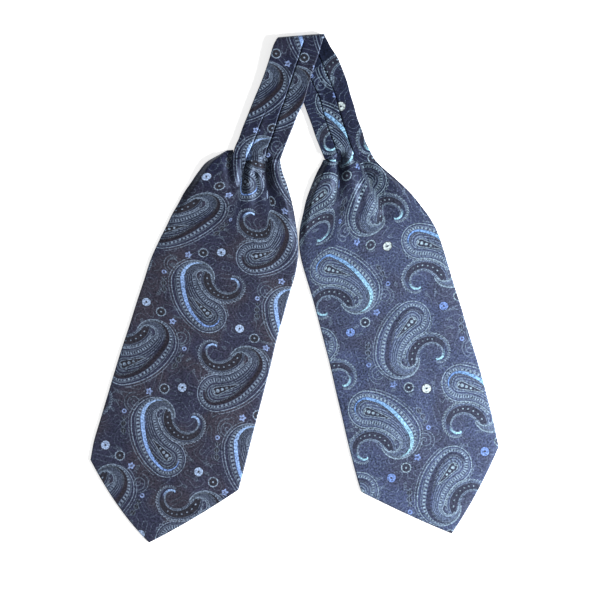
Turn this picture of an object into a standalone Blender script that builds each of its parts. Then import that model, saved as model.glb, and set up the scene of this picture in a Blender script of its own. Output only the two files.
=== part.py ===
"""A silk cravat laid flat: two pointed blades, each a front and a back, and a pleated neck band folded over.

Sizes are in millimetres until they are placed: x to the right, y towards the neck, z up from the table.
"""

from collections import namedtuple
from math import cos, exp, hypot, radians, sin

import bmesh
import bpy

MM = 0.001
MIDDLE = (-0.35, 0.5)                   # the middle of the whole outline, which is put at the origin
SEAM_GAP = 0.3
BACK_TOP = 1.2                          # the back panel lies on the table, this thick
FRONT_UNDER = BACK_TOP + SEAM_GAP       # the front panel starts this high
FRONT_EDGE = 2.0                        # top of the front panel at its folded edge
FRONT_CROWN = 4.0                       # and in the middle of the blade
BACK_INSET = 0.8                        # the back is cut this much smaller than the front

# How far the blade reaches to the left and right of its middle line, at each distance along it.
Section = namedtuple("Section", "along left right")
# A trough pressed into the cloth along a line of points: half width and depth at its two ends.
Trough = namedtuple("Trough", "points width end_width depth end_depth")
# The hem comes to a point: where its three corners are along the blade, and how far its two sides bow out.
Hem = namedtuple("Hem", "left_corner tip right_corner left_bow right_bow")
Blade = namedtuple("Blade", "name throat lean sections neck_edge neck_along hem troughs colour")

LEFT_BLADE = Blade(
    name="blade_left",
    throat=(-37.0, 126.5),
    lean=-15.97,
    sections=[
        Section(along=-10, left=27.0, right=20.5),
        Section(along=2, left=38.0, right=26.0),
        Section(along=14, left=49.5, right=34.5),
        Section(along=26, left=55.0, right=42.0),
        Section(along=38, left=59.0, right=48.5),
        Section(along=50, left=63.0, right=54.0),
        Section(along=62, left=65.5, right=59.1),
        Section(along=74, left=68.5, right=63.3),
        Section(along=86, left=70.5, right=65.7),
        Section(along=98, left=73.0, right=67.0),
        Section(along=122, left=76.5, right=66.8),
        Section(along=146, left=77.4, right=67.0),
        Section(along=170, left=78.4, right=67.2),
        Section(along=194, left=79.0, right=68.5),
        Section(along=218, left=80.0, right=69.0),
        Section(along=242, left=80.5, right=69.6),
        Section(along=266, left=80.7, right=70.2),
        Section(along=290, left=81.0, right=71.0),
        Section(along=314, left=81.2, right=71.5),
        Section(along=336, left=79.2, right=71.5),
    ],
    neck_edge=[(0.0, -72.1, 136.5), (0.08, -68.5, 138.5), (0.18, -62.4, 139.0), (0.21, -62.8, 129.4), (1.0, -14.2, 129.4)],
    neck_along=(0.0, -8.9),
    hem=Hem(left_corner=332.7, tip=396.3, right_corner=320.8, left_bow=5.2, right_bow=2.4),
    troughs=[
        Trough(points=[(-49, 132), (-51.5, 118.5), (-55, 98.5)], width=3.0, end_width=4.5, depth=2.0, end_depth=0.0),
        Trough(points=[(-29.5, 132), (-29, 100.5), (-23, 78)], width=3.0, end_width=7.0, depth=2.2, end_depth=0.2),
        Trough(points=[(-40, 110), (-38, 80)], width=4.0, end_width=6.0, depth=0.9, end_depth=0.2),
        Trough(points=[(-59, 100.5), (-73, 101.5)], width=3.0, end_width=3.0, depth=0.8, end_depth=0.2),
        Trough(points=[(-70, 137), (-66.5, 118), (-63.5, 102), (-60, 86)], width=5.0, end_width=5.0, depth=1.8, end_depth=0.2),
    ],
    colour=(0.030, 0.038, 0.078, 1.0),
)

RIGHT_BLADE = Blade(
    name="blade_right",
    throat=(52.0, 126.5),
    lean=15.76,
    sections=[
        Section(along=-10, left=21.5, right=24.0),
        Section(along=2, left=32.0, right=26.5),
        Section(along=14, left=41.5, right=32.5),
        Section(along=26, left=50.0, right=40.5),
        Section(along=38, left=56.5, right=48.0),
        Section(along=50, left=63.0, right=54.5),
        Section(along=62, left=67.5, right=59.6),
        Section(along=74, left=70.0, right=64.2),
        Section(along=86, left=70.8, right=67.4),
        Section(along=98, left=70.7, right=69.0),
        Section(along=122, left=70.3, right=69.7),
        Section(along=146, left=70.6, right=70.0),
        Section(along=170, left=71.1, right=70.8),
        Section(along=194, left=71.7, right=71.1),
        Section(along=218, left=73.0, right=71.6),
        Section(along=242, left=74.0, right=72.0),
        Section(along=266, left=75.2, right=71.5),
        Section(along=290, left=76.0, right=70.9),
        Section(along=314, left=76.2, right=69.2),
        Section(along=330, left=75.2, right=68.0),
    ],
    neck_edge=[(0.0, 29.4, 129.4), (0.5, 54.7, 129.4), (1.0, 79.9, 129.4)],
    neck_along=(-8.7, 4.8),
    hem=Hem(left_corner=321.7, tip=386.5, right_corner=315.6, left_bow=1.4, right_bow=3.6),
    troughs=[
        Trough(points=[(44, 132), (44.5, 123.5), (43, 98.5)], width=3.0, end_width=4.0, depth=2.0, end_depth=0.0),
        Trough(points=[(61.5, 132), (65, 120.5), (75, 103.5), (82, 90.5), (89, 74.5)], width=3.0, end_width=6.0,
               depth=2.2, end_depth=0.3),
        Trough(points=[(89, 74.5), (106, 77.5)], width=4.0, end_width=4.0, depth=0.8, end_depth=0.1),
        Trough(points=[(65, 98.5), (65, 74)], width=4.0, end_width=5.0, depth=0.9, end_depth=0.1),
        Trough(points=[(47, 83.5), (22, 65.5)], width=4.0, end_width=5.0, depth=0.8, end_depth=0.1),
    ],
    colour=(0.085, 0.110, 0.215, 1.0),
)

# Each row is one section across a stretch of the band, from its left edge to its right edge, with the height of the
# cloth at both edges and where its two pleat lines cross it, as shares of its width.
Stretch = namedtuple("Stretch", "left_x left_y right_x right_y left_top right_top pleat_one pleat_two")

BAND_LEFT = [
    Stretch(-23.5, 241.2, 27.0, 245.5, 8.4, 9.2, 0.33, 0.61),
    Stretch(-26.7, 228.5, 22.9, 231.0, 7.6, 9.1, 0.33, 0.61),
    Stretch(-30.0, 216.5, 18.4, 218.5, 6.8, 8.9, 0.33, 0.61),
    Stretch(-34.8, 204.0, 14.2, 204.5, 6.1, 8.6, 0.33, 0.61),
    Stretch(-41.2, 188.9, 9.2, 187.0, 5.6, 7.9, 0.33, 0.61),
    Stretch(-47.1, 174.0, 2.6, 173.0, 5.2, 6.4, 0.33, 0.63),
    Stretch(-52.2, 161.5, -2.2, 160.5, 5.0, 5.4, 0.33, 0.65),
    Stretch(-56.2, 150.0, -7.0, 149.0, 4.9, 5.0, 0.33, 0.66),
    Stretch(-60.4, 140.5, -11.0, 138.5, 5.0, 5.0, 0.33, 0.66),
    Stretch(-62.5, 129.7, -14.2, 129.7, 5.2, 5.2, 0.30, 0.68),
]

BAND_RIGHT = [
    Stretch(-15.0, 241.2, 35.4, 245.9, 4.4, 4.4, 0.33, 0.67),
    Stretch(-9.5, 226.5, 42.5, 231.5, 4.4, 4.4, 0.33, 0.67),
    Stretch(-4.0, 213.0, 47.7, 219.0, 4.4, 4.4, 0.33, 0.67),
    Stretch(2.0, 200.0, 52.3, 206.5, 4.4, 4.5, 0.34, 0.68),
    Stretch(8.0, 187.0, 55.6, 194.0, 4.4, 4.6, 0.35, 0.685),
    Stretch(12.2, 175.5, 59.2, 182.5, 4.5, 4.7, 0.33, 0.67),
    Stretch(16.6, 163.5, 62.6, 170.0, 4.6, 4.8, 0.32, 0.665),
    Stretch(20.6, 151.5, 67.2, 158.0, 4.8, 4.9, 0.32, 0.66),
    Stretch(24.6, 141.5, 71.0, 146.0, 4.9, 5.0, 0.325, 0.655),
    Stretch(29.4, 129.7, 79.8, 129.7, 5.2, 5.2, 0.29, 0.637),
]

# The turn runs from the fold line down to where the two stretches part; its fold line is rounded over.
BAND_TURN = [
    Stretch(-18.5, 249.7, 31.0, 255.5, 5.6, 6.0, 0.33, 0.61),
    Stretch(-18.9, 249.2, 31.3, 254.9, 6.8, 7.4, 0.33, 0.61),
    Stretch(-19.7, 247.9, 31.9, 253.4, 7.8, 8.4, 0.33, 0.61),
    Stretch(-21.4, 244.8, 33.3, 250.0, 8.3, 9.1, 0.33, 0.61),
    Stretch(-23.4, 241.5, 35.2, 246.3, 8.4, 9.2, 0.33, 0.61),
]
TURN_UNDER = [2.8, 1.3, 0.4, 0.0, 0.0]

PLEAT_SHARES = [0.0, 0.03, 0.09, 0.2, -0.022, 0.022, 0.5, -0.022, 0.022, 0.8, 0.91, 0.97, 1.0]
PLEAT_SINK = 0.9                        # how far the middle pleat lies below the two that overlap it
LIFT = BAND_RIGHT[0].left_top + SEAM_GAP
LIFT_REACH = 5.2                        # the upper stretch clears the lower one from this far outside its edge

# Shares across a blade where its columns stand, to each side of the one that ends at the hem's tip.
LEFT_SHARES = [0.0, 0.012, 0.045, 0.09, 0.14, 0.18, 0.21, 0.27, 0.33, 0.39, 0.44, 0.485]
RIGHT_SHARES = [0.565, 0.605, 0.66, 0.72, 0.78, 0.84, 0.89, 0.93, 0.965, 0.99, 1.0]
BLADE_ROWS = ([i / 100 for i in (0, 0.6, 1.6, 3, 4.5, 6, 7.5, 9, 10.5, 12, 14, 16, 18, 20, 22, 25, 29)]
              + [0.29 + 0.062 * i for i in range(1, 11)] + [0.94, 0.96, 0.975, 0.987, 0.996, 1.0])


def mix(a, b, share):
    return a + (b - a) * share


def smooth(value):
    value = min(1.0, max(0.0, value))
    return value * value * (3 - 2 * value)


def read_between(rows, position):
    """The row at a position along a list of rows, on a smooth curve through them."""
    i = min(int(position), len(rows) - 2)
    share = position - i
    before, first, second, after = (rows[max(0, min(len(rows) - 1, k))] for k in (i - 1, i, i + 1, i + 2))
    values = []
    for p, a, b, n in zip(before, first, second, after):
        values.append(0.5 * (2 * a + (b - p) * share + (2 * p - 5 * a + 4 * b - n) * share ** 2
                             + (3 * a - p - 3 * b + n) * share ** 3))
    return type(rows[0])(*values)


def section_at(sections, along):
    """The blade's reach to its two sides at a distance along it."""
    for i in range(len(sections) - 1):
        if along <= sections[i + 1].along or i == len(sections) - 2:
            share = (along - sections[i].along) / (sections[i + 1].along - sections[i].along)
            return read_between(sections, i + min(1.0, max(0.0, share)))


def line_at(points, share):
    """The x and y at a share across a blade's neck edge, which is given as straight runs."""
    for (s0, x0, y0), (s1, x1, y1) in zip(points, points[1:]):
        if share <= s1:
            part = (share - s0) / (s1 - s0)
            return mix(x0, x1, part), mix(y0, y1, part)
    return points[-1][1:]


def on_blade(blade, along, across):
    lean = radians(blade.lean)
    x = blade.throat[0] + along * sin(lean) + across * cos(lean)
    y = blade.throat[1] - along * cos(lean) + across * sin(lean)
    return x, y


def share_of_tip(blade):
    left = section_at(blade.sections, blade.hem.left_corner).left
    right = section_at(blade.sections, blade.hem.right_corner).right
    return left / (left + right)


def blade_place(blade, down, share):
    """The x and y of a place on a blade: down from its neck edge to its hem, share from its left to its right."""
    hem = blade.hem
    ends = []
    for side, start, end in ((0, blade.neck_along[0], hem.left_corner), (1, blade.neck_along[1], hem.right_corner)):
        along = mix(start, end, down)
        section = section_at(blade.sections, along)
        ends.append(on_blade(blade, along, section.right if side else -section.left))
    x, y = (mix(a, b, share) for a, b in zip(*ends))

    neck_x, neck_y = line_at(blade.neck_edge, share)
    straight_x = mix(blade.neck_edge[0][1], blade.neck_edge[-1][1], share)
    straight_y = mix(blade.neck_edge[0][2], blade.neck_edge[-1][2], share)
    fade = max(0.0, 1 - down / 0.10) ** 2
    x += fade * (neck_x - straight_x)
    y += fade * (neck_y - straight_y)

    reach = max(0.0, (down - 0.5) / 0.5) ** 2
    tip_share = share_of_tip(blade)
    if share <= tip_share:
        part = share / tip_share
        drop = part * (hem.tip - hem.left_corner) + hem.left_bow * 4 * part * (1 - part)
        flat = share * (hem.right_corner - hem.left_corner)
    else:
        part = (1 - share) / (1 - tip_share)
        drop = (hem.right_corner - hem.left_corner) + part * (hem.tip - hem.right_corner)
        drop += hem.right_bow * 4 * part * (1 - part)
        flat = share * (hem.right_corner - hem.left_corner)
    lean = radians(blade.lean)
    x += reach * (drop - flat) * sin(lean)
    y -= reach * (drop - flat) * cos(lean)
    return x, y


def trough_depth(troughs, x, y):
    """How far the troughs press the cloth down at a place."""
    total = 0.0
    for trough in troughs:
        best = None
        runs = len(trough.points) - 1
        for i, ((x0, y0), (x1, y1)) in enumerate(zip(trough.points, trough.points[1:])):
            length = hypot(x1 - x0, y1 - y0)
            share = ((x - x0) * (x1 - x0) + (y - y0) * (y1 - y0)) / length ** 2
            share = min(1.0, max(0.0, share))
            away = hypot(x - mix(x0, x1, share), y - mix(y0, y1, share))
            if best is None or away < best[0]:
                best = (away, (i + share) / runs)
        away, along = best
        width = mix(trough.width, trough.end_width, along)
        total += mix(trough.depth, trough.end_depth, along) * exp(-(away / width) ** 2)
    return total


def blade_top(blade, down, share, x, y):
    """Height of the front panel: a folded edge, a low crown, and the gathered cloth at the neck."""
    length = blade.hem.tip
    width = 2 * section_at(blade.sections, mix(0, blade.hem.left_corner, down)).left
    edge = min(share * width, (1 - share) * width, (1 - down) * length * 0.8 + 0.01)
    roll = smooth(edge / 7.0)
    crown = smooth(edge / 60.0)
    gather = exp(-((down * length) / 55.0) ** 2)
    height = FRONT_EDGE + roll * (0.9 + 2.2 * gather) + crown * (FRONT_CROWN - FRONT_EDGE - 0.9)
    height -= roll * trough_depth(blade.troughs, x, y)
    return max(FRONT_UNDER + 0.5, height)


def pleat_row(row):
    """The shares across a stretch where its columns stand, two of them close on each side of both pleat lines."""
    shares = list(PLEAT_SHARES)
    shares[4] += row.pleat_one
    shares[5] += row.pleat_one
    shares[6] = (row.pleat_one + row.pleat_two) / 2
    shares[7] += row.pleat_two
    shares[8] += row.pleat_two
    return shares


def band_top(row, column):
    """Height of a stretch at one of its columns: rounded edges, and a middle pleat that lies lower."""
    share = pleat_row(row)[column]
    height = mix(row.left_top, row.right_top, share)
    width = hypot(row.right_x - row.left_x, row.right_y - row.left_y)
    edge = min(share, 1 - share) * width
    height -= 1.5 * (1 - smooth(edge / 4.0))
    if 5 <= column <= 7:
        height -= PLEAT_SINK
    return height


def hidden_edge_distance(x, y):
    """How far a place lies inside the lower stretch's left edge; negative to the left of it."""
    best = None
    for a, b in zip(BAND_RIGHT, BAND_RIGHT[1:]):
        run_x, run_y = b.left_x - a.left_x, b.left_y - a.left_y
        length = hypot(run_x, run_y)
        share = min(1.0, max(0.0, ((x - a.left_x) * run_x + (y - a.left_y) * run_y) / length ** 2))
        away = hypot(x - mix(a.left_x, b.left_x, share), y - mix(a.left_y, b.left_y, share))
        side = run_x * (y - a.left_y) - run_y * (x - a.left_x)
        if best is None or away < abs(best):
            best = away if side > 0 else -away
    return best


def closed_sheet(name, columns, rows, place, colour):
    """A grid extruded to a closed solid; place gives the corner at a column and row, on its top or its underside."""
    mesh = bmesh.new()
    bmesh.ops.create_grid(mesh, x_segments=columns, y_segments=rows, size=1.0)
    made = bmesh.ops.extrude_face_region(mesh, geom=mesh.faces[:])
    top = {item for item in made["geom"] if isinstance(item, bmesh.types.BMVert)}
    for vert in mesh.verts:
        column = round((vert.co.x + 1) / 2 * columns)
        row = round((vert.co.y + 1) / 2 * rows)
        x, y, z = place(column, row, vert in top)
        vert.co = ((x - MIDDLE[0]) * MM, (y - MIDDLE[1]) * MM, z * MM)
    bmesh.ops.recalc_face_normals(mesh, faces=mesh.faces[:])
    if mesh.calc_volume(signed=True) < 0:
        bmesh.ops.reverse_faces(mesh, faces=mesh.faces[:])

    data = bpy.data.meshes.new(name)
    mesh.to_mesh(data)
    mesh.free()
    made_object = bpy.data.objects.new(name, data)
    garment.objects.link(made_object)
    material = bpy.data.materials.new(name + "_silk")
    material.use_nodes = True
    shader = material.node_tree.nodes["Principled BSDF"]
    shader.inputs["Base Color"].default_value = colour
    shader.inputs["Roughness"].default_value = 0.45
    data.materials.append(material)
    return made_object


def add_blade(blade):
    shares = LEFT_SHARES + [share_of_tip(blade)] + RIGHT_SHARES
    back_shares = BACK_LEFT_SHARES + [share_of_tip(blade)] + BACK_RIGHT_SHARES
    middle_x, middle_y = blade_place(blade, 0.5, 0.5)

    def front(column, row, is_top):
        share, down = shares[column], BLADE_ROWS[row]
        x, y = blade_place(blade, down, share)
        return x, y, blade_top(blade, down, share, x, y) if is_top else FRONT_UNDER

    def back(column, row, is_top):
        x, y = blade_place(blade, BACK_ROWS[row], back_shares[column])
        shrink = BACK_INSET / max(20.0, hypot(x - middle_x, y - middle_y))
        if column in (0, len(back_shares) - 1) or row in (0, len(BACK_ROWS) - 1):
            x, y = mix(x, middle_x, shrink), mix(y, middle_y, shrink)
        return x, y, BACK_TOP if is_top else 0.0

    closed_sheet(blade.name + "_front", len(shares) - 1, len(BLADE_ROWS) - 1, front, blade.colour)
    closed_sheet(blade.name + "_back", len(back_shares) - 1, len(BACK_ROWS) - 1, back, blade.colour)


BACK_LEFT_SHARES = [0.0, 0.09, 0.18, 0.21, 0.33, 0.44]
BACK_RIGHT_SHARES = [0.62, 0.74, 0.87, 1.0]
BACK_ROWS = [0.0, 0.016, 0.045, 0.075, 0.105, 0.14, 0.18, 0.25, 0.4, 0.55, 0.7, 0.8, 0.88, 0.94, 1.0]


def add_stretch(name, rows, steps, colour, under):
    """One stretch of the band: sections read between its rows, with the underside that the function gives."""
    last = len(PLEAT_SHARES) - 1

    def place(column, row, is_top):
        section = read_between(rows, row * (len(rows) - 1) / steps)
        share = pleat_row(section)[column]
        x = mix(section.left_x, section.right_x, share)
        y = mix(section.left_y, section.right_y, share)
        return x, y, band_top(section, column) if is_top else under(x, y, row)

    closed_sheet(name, last, steps, place, colour)


def upper_underside(x, y, row):
    return LIFT if hidden_edge_distance(x, y) > -LIFT_REACH and y > 175.0 else 0.0


def flat_underside(x, y, row):
    return 0.0


def turn_underside(x, y, row):
    return TURN_UNDER[row]


for old in list(bpy.data.objects):
    bpy.data.objects.remove(old)

garment = bpy.data.collections.new("silk_cravat")
bpy.context.scene.collection.children.link(garment)

add_blade(LEFT_BLADE)
add_blade(RIGHT_BLADE)
add_stretch("band_turn", BAND_TURN, len(BAND_TURN) - 1, LEFT_BLADE.colour, turn_underside)
add_stretch("band_left", BAND_LEFT, 30, LEFT_BLADE.colour, upper_underside)
add_stretch("band_right", BAND_RIGHT, 27, RIGHT_BLADE.colour, flat_underside)
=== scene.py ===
"""A silk cravat laid flat: two pointed paisley blades on a narrow pleated neck band, folded over."""

from collections import namedtuple
from math import cos, exp, hypot, pi, radians, sin, sqrt

import bmesh
import bpy
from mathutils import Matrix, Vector, noise


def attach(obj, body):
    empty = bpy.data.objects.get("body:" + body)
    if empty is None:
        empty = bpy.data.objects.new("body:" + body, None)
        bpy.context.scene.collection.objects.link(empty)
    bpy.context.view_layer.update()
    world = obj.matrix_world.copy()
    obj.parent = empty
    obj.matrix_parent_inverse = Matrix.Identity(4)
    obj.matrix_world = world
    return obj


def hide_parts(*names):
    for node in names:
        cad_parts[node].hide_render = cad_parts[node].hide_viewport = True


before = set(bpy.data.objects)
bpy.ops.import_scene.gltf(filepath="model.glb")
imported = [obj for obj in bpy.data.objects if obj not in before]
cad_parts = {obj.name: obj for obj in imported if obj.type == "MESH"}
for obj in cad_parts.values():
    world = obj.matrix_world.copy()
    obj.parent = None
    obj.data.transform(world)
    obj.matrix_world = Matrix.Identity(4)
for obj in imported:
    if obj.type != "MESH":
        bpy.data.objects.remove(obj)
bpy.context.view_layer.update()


# The left blade's front. A panel of jacquard silk, bagged out with its back so that its edges are folded,
# gathered into three pleats at the neck and pointed at the hem. Sizes are millimetres from the middle of
# the outline.
Section = namedtuple("Section", "along left right")  # the reach to each side, at a distance along
Trough = namedtuple("Trough", "points width depth")  # width and depth are given at its start and its end
Hem = namedtuple("Hem", "left_corner tip right_corner left_bow right_bow")
# pleat_lines are where two pleats part the neck in three, and hidden is how far the pattern of each third
# is moved aside for the cloth that they hide; squeeze shortens the pattern towards the neck.
Blade = namedtuple("Blade", "throat lean sections neck_edge neck_along shoulder hem troughs pleat_lines "
                            "hidden squeeze")

MM = 0.001
MIDDLE = (-0.35, 0.5)
CLOTH = 0.45  # the silk and its interlining
FRONT_RIM = 1.25  # the front meets the back at this height
ROLL = 1.3  # radius of a folded edge
BLADE_LONG = 330.0
HALF_WIDE = 75.0
NECK_FADE = 0.10  # the share of a blade in which its neck edge's own line fades out
GATHER_LONG = 46.0  # how far down the blade the gathers' height fades out
GATHER_HIGH = 5.6
CROWN = 1.1  # how much higher the blade's middle is than its sides
PLEATS_END = 105.0  # the pleats' hidden cloth has come out this far down the blade
SQUEEZE_END = 200.0
FAR_FROM_EDGE = 20.0  # on the open cloth, away from the folded edges

LEFT_BLADE = Blade(
    throat=(-37.0, 126.5),
    lean=-15.97,
    sections=[Section(*reach) for reach in (
        (-10, 27.0, 20.5), (2, 38.0, 26.0), (14, 49.5, 34.5), (26, 55.0, 42.0), (38, 59.0, 48.5),
        (50, 63.0, 54.0), (62, 65.5, 59.1), (74, 68.5, 63.3), (86, 70.5, 65.7), (98, 73.0, 67.0),
        (122, 76.5, 66.8), (146, 77.4, 67.0), (170, 78.4, 67.2), (194, 79.0, 68.5), (218, 80.0, 69.0),
        (242, 80.5, 69.6), (266, 80.7, 70.2), (290, 81.0, 71.0), (314, 81.2, 71.5), (336, 79.2, 71.5),
    )],
    neck_edge=[(0.0, -72.1, 136.5), (0.08, -68.5, 138.5), (0.18, -62.0, 139.0), (0.21, -61.5, 129.6),
               (1.0, -14.2, 129.6)],
    neck_along=(0.0, -8.9),
    shoulder=0.19,
    hem=Hem(left_corner=332.7, tip=396.3, right_corner=320.8, left_bow=5.2, right_bow=2.4),
    troughs=[
        Trough(points=[(-49, 134), (-51, 118.5), (-54.5, 98.5), (-52, 84)],
               width=(3.0, 6.0), depth=(7.0, 1.2)),
        Trough(points=[(-29.5, 134), (-29.5, 118), (-29, 100.5), (-24, 88), (-15, 76)],
               width=(4.0, 9.0), depth=(8.0, 1.0)),
        Trough(points=[(-40, 114), (-38, 96), (-38, 78)], width=(2.8, 6.5), depth=(4.0, 0.7)),
        Trough(points=[(-58, 100.8), (-66, 100.2), (-74, 102)], width=(1.8, 2.8), depth=(2.0, 0.3)),
        Trough(points=[(-67, 139), (-67, 118), (-64, 102), (-60, 86)], width=(3.0, 4.5), depth=(3.4, 0.5)),
        Trough(points=[(-44, 130), (-46, 106), (-45, 88)], width=(2.6, 4.5), depth=(-1.0, -0.7)),
        Trough(points=[(-34.5, 130), (-34, 98)], width=(2.4, 4.0), depth=(-0.8, -0.5)),
        Trough(points=[(-22, 128), (-15, 98), (-6, 78)], width=(3.5, 6.0), depth=(-0.9, -0.3)),
        Trough(points=[(-28, 88), (-8, 66)], width=(4.0, 7.0), depth=(0.9, 0.1)),
        Trough(points=[(-54, 92), (-47, 76), (-44, 56)], width=(3.5, 8.0), depth=(-1.1, -0.1)),
        Trough(points=[(-80, 92), (-86, 60), (-98, 22)], width=(6.0, 14.0), depth=(0.5, 0.1)),
        Trough(points=[(-20, 60), (-34, 10), (-52, -40)], width=(9.0, 16.0), depth=(-0.5, -0.1)),
        Trough(points=[(-110, -20), (-122, -90), (-140, -150)], width=(12.0, 16.0), depth=(0.45, 0.2)),
        Trough(points=[(-60, -90), (-82, -150), (-112, -205)], width=(12.0, 15.0), depth=(-0.45, -0.2)),
    ],
    pleat_lines=((-12.4, 0.088), (8.0, 0.36)),
    hidden=(-29.0, 0.0, 29.0),
    squeeze=0.12,
)


def mix(a, b, share):
    return a + (b - a) * share


def smooth(value):
    value = min(1.0, max(0.0, value))
    return value * value * (3 - 2 * value)


def read_between(rows, position):
    """The row at a position along a list of rows, on a smooth curve through them."""
    i = min(int(position), len(rows) - 2)
    share = position - i
    before, first, second, after = (rows[max(0, min(len(rows) - 1, k))] for k in (i - 1, i, i + 1, i + 2))
    values = []
    for p, a, b, n in zip(before, first, second, after):
        values.append(0.5 * (2 * a + (b - p) * share + (2 * p - 5 * a + 4 * b - n) * share ** 2
                             + (3 * a - p - 3 * b + n) * share ** 3))
    return type(rows[0])(*values)


def section_at(sections, along):
    """The blade's reach to its two sides at a distance along it."""
    for i in range(len(sections) - 1):
        if along <= sections[i + 1].along or i == len(sections) - 2:
            share = (along - sections[i].along) / (sections[i + 1].along - sections[i].along)
            return read_between(sections, i + min(1.0, max(0.0, share)))


def neck_place(points, share):
    for (s0, x0, y0), (s1, x1, y1) in zip(points, points[1:]):
        if share <= s1:
            part = (share - s0) / (s1 - s0)
            return mix(x0, x1, part), mix(y0, y1, part)
    return points[-1][1:]


def on_blade(blade, along, across):
    lean = radians(blade.lean)
    x = blade.throat[0] + along * sin(lean) + across * cos(lean)
    y = blade.throat[1] - along * cos(lean) + across * sin(lean)
    return x, y


def along_and_across(blade, x, y):
    lean = radians(blade.lean)
    right, up = x - blade.throat[0], y - blade.throat[1]
    return right * sin(lean) - up * cos(lean), right * cos(lean) + up * sin(lean)


def share_of_tip(blade):
    left = section_at(blade.sections, blade.hem.left_corner).left
    right = section_at(blade.sections, blade.hem.right_corner).right
    return left / (left + right)


def blade_place(blade, down, share):
    """The x and y of a place on a blade: down from its neck edge to its hem, share from left to right."""
    hem = blade.hem
    ends = []
    corners = (hem.left_corner, hem.right_corner)
    for side in (0, 1):
        along = mix(blade.neck_along[side], corners[side], down)
        section = section_at(blade.sections, along)
        ends.append(on_blade(blade, along, section.right if side else -section.left))
    width = hypot(ends[1][0] - ends[0][0], ends[1][1] - ends[0][1])
    x, y = (mix(a, b, share) for a, b in zip(*ends))

    neck_x, neck_y = neck_place(blade.neck_edge, share)
    fade = max(0.0, 1 - down / NECK_FADE) ** 2
    x += fade * (neck_x - mix(blade.neck_edge[0][1], blade.neck_edge[-1][1], share))
    y += fade * (neck_y - mix(blade.neck_edge[0][2], blade.neck_edge[-1][2], share))

    reach = max(0.0, (down - 0.5) / 0.5) ** 2
    tip = share_of_tip(blade)
    flat = share * (hem.right_corner - hem.left_corner)
    if share <= tip:
        part = share / tip
        drop = part * (hem.tip - hem.left_corner) + hem.left_bow * 4 * part * (1 - part)
    else:
        part = (1 - share) / (1 - tip)
        drop = (hem.right_corner - hem.left_corner) + part * (hem.tip - hem.right_corner)
        drop += hem.right_bow * 4 * part * (1 - part)
    lean = radians(blade.lean)
    x += reach * (drop - flat) * sin(lean)
    y -= reach * (drop - flat) * cos(lean)
    return x, y, width


def trough_depth(troughs, x, y):
    """How far the troughs press the cloth down at a place; a ridge is a trough of negative depth."""
    total = 0.0
    for trough in troughs:
        best = None
        runs = len(trough.points) - 1
        for i, ((x0, y0), (x1, y1)) in enumerate(zip(trough.points, trough.points[1:])):
            length = hypot(x1 - x0, y1 - y0)
            share = ((x - x0) * (x1 - x0) + (y - y0) * (y1 - y0)) / length ** 2
            share = min(1.0, max(0.0, share))
            away = hypot(x - mix(x0, x1, share), y - mix(y0, y1, share))
            if best is None or away < best[0]:
                best = (away, (i + share) / runs)
        away, along = best
        total += mix(*trough.depth, along) * exp(-(away / mix(*trough.width, along)) ** 2)
    return total


def cloth_height(blade, edge, x, y):
    """Height of the cloth's face: round at its folded edges, a low crown, and gathered at the neck."""
    along, across = along_and_across(blade, x, y)
    round_edge = sqrt(max(0.0, 1 - (1 - min(1.0, max(0.0, edge) / ROLL)) ** 2))
    gather = exp(-(max(0.0, along - 12.0) / GATHER_LONG) ** 2) * (0.55 + 0.45 * smooth((along + 4.0) / 18.0))
    inside = smooth(edge / 8.0)
    height = FRONT_RIM + 1.05 * round_edge + inside * (0.4 + GATHER_HIGH * gather)
    height += CROWN * smooth(edge / 55.0)
    height += inside * 0.35 * noise.noise(Vector((x / 34.0, y / 48.0, 3.7)))
    height -= smooth(edge / 3.0) * trough_depth(blade.troughs, x, y)
    return max(FRONT_RIM + 0.3 * round_edge, height)


def weave_place(blade, x, y):
    """Where a place on the blade lies in the woven cloth, with the cloth that its pleats hide left out."""
    along, across = along_and_across(blade, x, y)
    spread = 0.7 + 0.07 * max(0.0, along)
    shift = blade.hidden[0]
    for i, (start, slope) in enumerate(blade.pleat_lines):
        beyond = (across - start - slope * along) / spread
        shift += (blade.hidden[i + 1] - blade.hidden[i]) * smooth(beyond / 2 + 0.5)
    u = across + shift * (1 - smooth(along / PLEATS_END))
    v = along + blade.squeeze * (min(along, SQUEEZE_END) - SQUEEZE_END)
    return u, v


NECK_PART = 0.30  # the share of a blade, from its neck, that has the finer rows
EDGE_SHARES = [0.0, 0.0009, 0.003, 0.0065, 0.012, 0.02]
HEM_ROWS = [0.9865, 0.9915, 0.9945, 0.9967, 0.9982, 0.9992, 1.0]


def add_grid(mesh, columns, rows, place):
    """Adds a grid to a mesh, laid by place(column, row), which gives x, y, z and the place in the weave."""
    weave = mesh.loops.layers.uv.verify()
    made = bmesh.ops.create_grid(mesh, x_segments=len(columns) - 1, y_segments=len(rows) - 1, size=1.0)
    spots = {}
    for corner in made["verts"]:
        column = round((corner.co.x + 1) / 2 * (len(columns) - 1))
        row = round((1 - corner.co.y) / 2 * (len(rows) - 1))
        x, y, z, u, v = place(columns[column], rows[row])
        corner.co = ((x - MIDDLE[0]) * MM, (y - MIDDLE[1]) * MM, z * MM)
        spots[corner] = (u, v)
    for face in {face for corner in made["verts"] for face in corner.link_faces}:
        face.smooth = True
        for loop in face.loops:
            loop[weave].uv = spots[loop.vert]


def add_piece(name, mesh, thickness=None):
    data = bpy.data.meshes.new(name)
    mesh.to_mesh(data)
    mesh.free()
    piece = bpy.data.objects.new(name, data)
    bpy.context.scene.collection.objects.link(piece)
    if thickness:
        data.uv_layers[0].name = "weave"
        wall = piece.modifiers.new("wall", "SOLIDIFY")
        wall.thickness = thickness * MM
        wall.offset = -1.0
    return piece


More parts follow.
